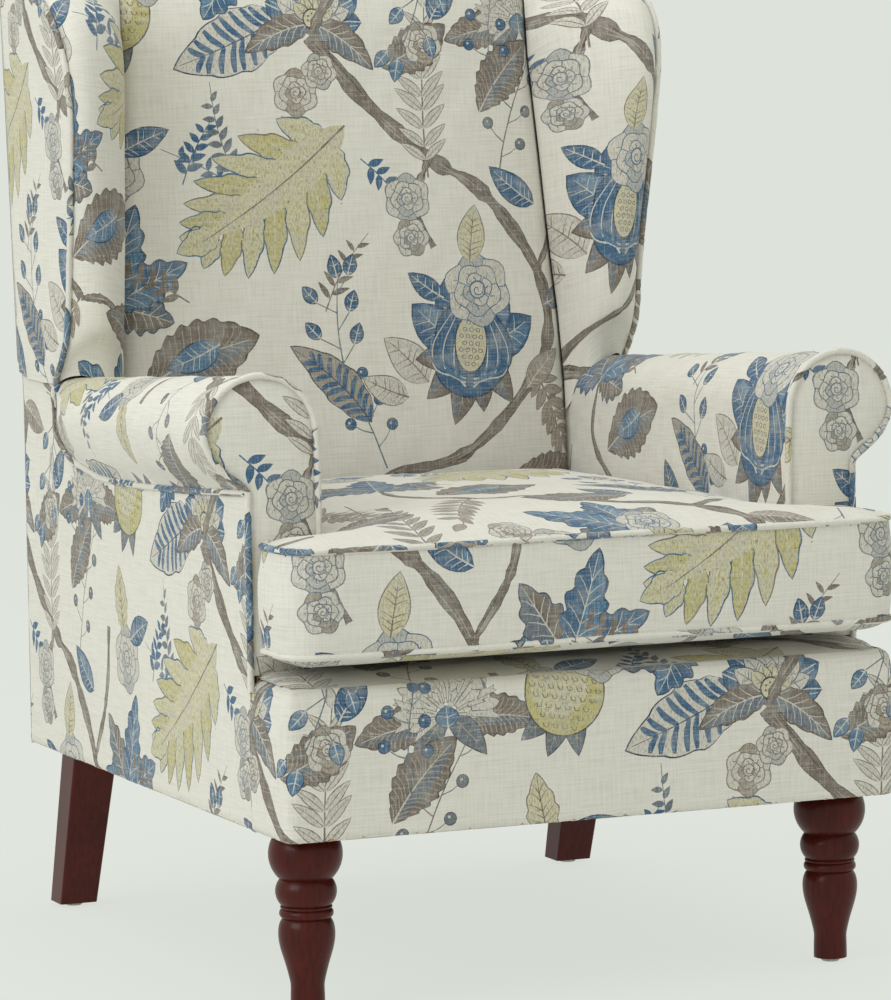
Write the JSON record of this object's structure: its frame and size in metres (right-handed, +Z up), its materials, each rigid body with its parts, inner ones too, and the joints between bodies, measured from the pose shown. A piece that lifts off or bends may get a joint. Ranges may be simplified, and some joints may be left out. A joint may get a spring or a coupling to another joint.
{
  "type": "wing armchair",
  "caption": "Upholstered wing armchair with rolled arms, a loose T-shaped seat cushion, turned front legs and raked back legs.",
  "frame": {"origin": "on the floor, below the middle of the chair's bounding box", "axes": "+Z up, the chair faces -Y, +X to the right of a viewer in front of it"},
  "size_m": [0.732, 0.81, 1],
  "materials": {
    "printed_linen": "matte woven linen with a printed floral",
    "leg_wood": "semi-gloss stain",
    "frame_wood": "sawn",
    "foam": "open-cell foam",
    "steel": "zinc plated",
    "zip_metal": "satin",
    "zip_cloth": "woven tape",
    "webbing": "jute",
    "dust_cloth": "non-woven",
    "glide_plastic": "matte"
  },
  "bodies": {
    "chair": {"arm_foam_l": "foam", "arm_foam_r": "foam", "arm_front_panel_l": "printed_linen", "arm_front_panel_r": "printed_linen", "arm_front_welts": "printed_linen", "arm_post_l": "frame_wood", "arm_post_r": "frame_wood", "arm_rail_l": "frame_wood", "arm_rail_r": "frame_wood", "back_cross_rail": "frame_wood", "back_foam": "foam", "back_post_l": "frame_wood", "back_post_r": "frame_wood", "back_rail": "frame_wood", "back_webbing": "webbing", "corner_blocks": "frame_wood", "deck_burlap": "webbing", "deck_cover": "printed_linen", "deck_pad": "foam", "dust_cover": "dust_cloth", "front_leg_l": "leg_wood", "front_leg_r": "leg_wood", "front_rail": "frame_wood", "front_rail_cover": "printed_linen", "glides": "glide_plastic", "hanger_bolts": "steel", "inside_arm_cover_l": "printed_linen", "inside_arm_cover_r": "printed_linen", "inside_back_cover": "printed_linen", "leg_plates": "steel", "lip_pad": "foam", "outside_arm_cover_l": "printed_linen", "outside_arm_cover_r": "printed_linen", "outside_back_cover": "printed_linen", "rear_leg_l": "leg_wood", "rear_leg_r": "leg_wood", "seat_springs": "steel", "side_rail_l": "frame_wood", "side_rail_r": "frame_wood", "spring_clips": "steel", "top_rail": "frame_wood", "wing_board_l": "frame_wood", "wing_board_r": "frame_wood", "wing_foam_l": "foam", "wing_foam_r": "foam", "wing_inner_cover_l": "printed_linen", "wing_inner_cover_r": "printed_linen", "wing_outer_cover_l": "printed_linen", "wing_outer_cover_r": "printed_linen", "wing_welts": "printed_linen"},
    "seat_cushion": {"cushion_bottom": "printed_linen", "cushion_boxing": "printed_linen", "cushion_foam": "foam", "cushion_top": "printed_linen", "cushion_welt_bottom": "printed_linen", "cushion_welt_top": "printed_linen", "zip_tape": "zip_cloth"},
    "zip_slider": {"zip_slider": "zip_metal"}
  },
  "joints": [
    {"name": "cushion_lift", "type": "slide", "parent": "chair", "child": "seat_cushion", "axis": [0, 0, 1], "range_m": [0, 0.3]},
    {"name": "zip_slide", "type": "slide", "parent": "seat_cushion", "child": "zip_slider", "axis": [1, 0, 0], "range_m": [-0.19, 0.19]}
  ]
}
